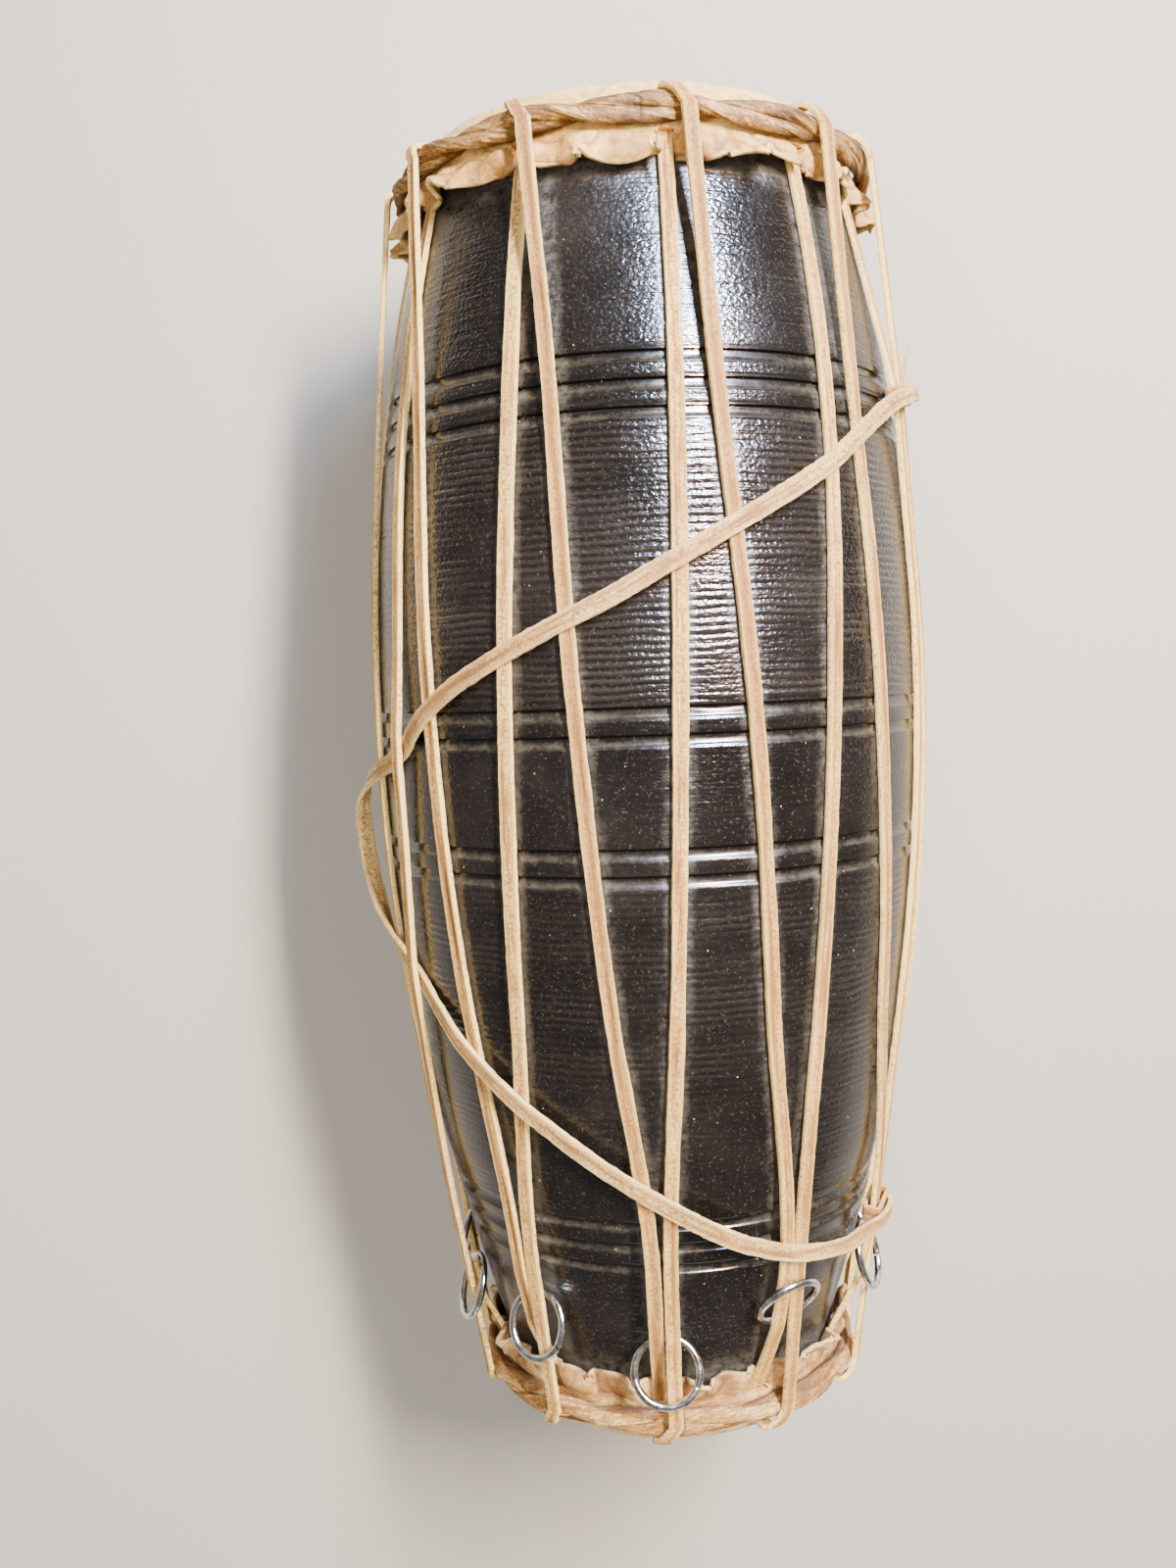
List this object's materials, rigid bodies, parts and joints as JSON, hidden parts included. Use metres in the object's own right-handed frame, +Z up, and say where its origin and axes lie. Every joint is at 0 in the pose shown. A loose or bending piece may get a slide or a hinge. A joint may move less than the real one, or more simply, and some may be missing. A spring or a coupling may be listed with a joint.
{
  "type": "madal drum",
  "caption": "Two-headed barrel drum lying on its side, laced with rawhide over twisted leather hoops, with steel tuning rings on the thongs and a flat carrying strap.",
  "frame": {"origin": "centre of the bounding box seen from above, at the height of the lowest thong, which the drum rests on", "axes": "+Y along the drum's axis towards the large head, +Z up, +X to the right when the large head points away"},
  "size_m": [0.2082, 0.4536, 0.206],
  "materials": {
    "shell": "near-black gloss lacquer over turned wood, with fine lathe rings",
    "main_skin": "thin scraped goat skin, matt",
    "ring_skin": "pale speckled hide, matt, ruffled at its free edge",
    "tuning_paste": "black paste of iron dust and starch, smooth and dull",
    "hoop": "two twisted rolls of brown-grey hide, grainy",
    "lacing": "pale rawhide thong with fuzzy edges",
    "strap": "pale rawhide strap with orange-brown stains",
    "tuning_ring": "bright plated steel wire"
  },
  "bodies": {
    "drum": {"shell": "shell", "large_main_skin": "main_skin", "small_main_skin": "main_skin", "large_ring_skin": "ring_skin", "small_ring_skin": "ring_skin", "large_tuning_paste": "tuning_paste", "small_tuning_paste": "tuning_paste", "large_hoop": "hoop", "small_hoop": "hoop", "lacing_thong": "lacing", "carrying_strap": "strap", "strap_tie_large": "strap", "strap_tie_small": "strap"},
    "tuning_ring_01": {"tuning_ring_01": "tuning_ring"},
    "tuning_ring_02": {"tuning_ring_02": "tuning_ring"},
    "tuning_ring_03": {"tuning_ring_03": "tuning_ring"},
    "tuning_ring_04": {"tuning_ring_04": "tuning_ring"},
    "tuning_ring_05": {"tuning_ring_05": "tuning_ring"},
    "tuning_ring_06": {"tuning_ring_06": "tuning_ring"},
    "tuning_ring_07": {"tuning_ring_07": "tuning_ring"},
    "tuning_ring_08": {"tuning_ring_08": "tuning_ring"},
    "tuning_ring_09": {"tuning_ring_09": "tuning_ring"},
    "tuning_ring_10": {"tuning_ring_10": "tuning_ring"},
    "tuning_ring_11": {"tuning_ring_11": "tuning_ring"}
  },
  "joints": [
    {"name": "tuning_ring_01_slide", "type": "slide", "parent": "drum", "child": "tuning_ring_01", "axis": [-0.1469, 0.9724, 0.1814], "range_m": [-0.0115, 0.0095]},
    {"name": "tuning_ring_02_slide", "type": "slide", "parent": "drum", "child": "tuning_ring_02", "axis": [-0.0176, 0.9678, 0.251], "range_m": [0, 0.021]},
    {"name": "tuning_ring_03_slide", "type": "slide", "parent": "drum", "child": "tuning_ring_03", "axis": [0.1371, 0.9578, 0.2525], "range_m": [-0.008, 0.001]},
    {"name": "tuning_ring_04_slide", "type": "slide", "parent": "drum", "child": "tuning_ring_04", "axis": [0.1963, 0.9766, 0.0874], "range_m": [-0.018, 0.0015]},
    {"name": "tuning_ring_05_slide", "type": "slide", "parent": "drum", "child": "tuning_ring_05", "axis": [0.2311, 0.9724, -0.0325], "range_m": [-0.0135, 0.0075]},
    {"name": "tuning_ring_06_slide", "type": "slide", "parent": "drum", "child": "tuning_ring_06", "axis": [0.1646, 0.9766, -0.1381], "range_m": [-0.0085, 0.0125]},
    {"name": "tuning_ring_07_slide", "type": "slide", "parent": "drum", "child": "tuning_ring_07", "axis": [0.074, 0.9724, -0.2213], "range_m": [-0.0155, 0.0055]},
    {"name": "tuning_ring_08_slide", "type": "slide", "parent": "drum", "child": "tuning_ring_08", "axis": [-0.0525, 0.9724, -0.2274], "range_m": [-0.0065, 0.0145]},
    {"name": "tuning_ring_09_slide", "type": "slide", "parent": "drum", "child": "tuning_ring_09", "axis": [-0.165, 0.9724, -0.165], "range_m": [-0.0125, 0.0085]},
    {"name": "tuning_ring_10_slide", "type": "slide", "parent": "drum", "child": "tuning_ring_10", "axis": [-0.2269, 0.9724, -0.0545], "range_m": [-0.0165, 0.0045]},
    {"name": "tuning_ring_11_slide", "type": "slide", "parent": "drum", "child": "tuning_ring_11", "axis": [-0.2219, 0.9724, 0.0721], "range_m": [-0.0105, 0.0105]}
  ]
}
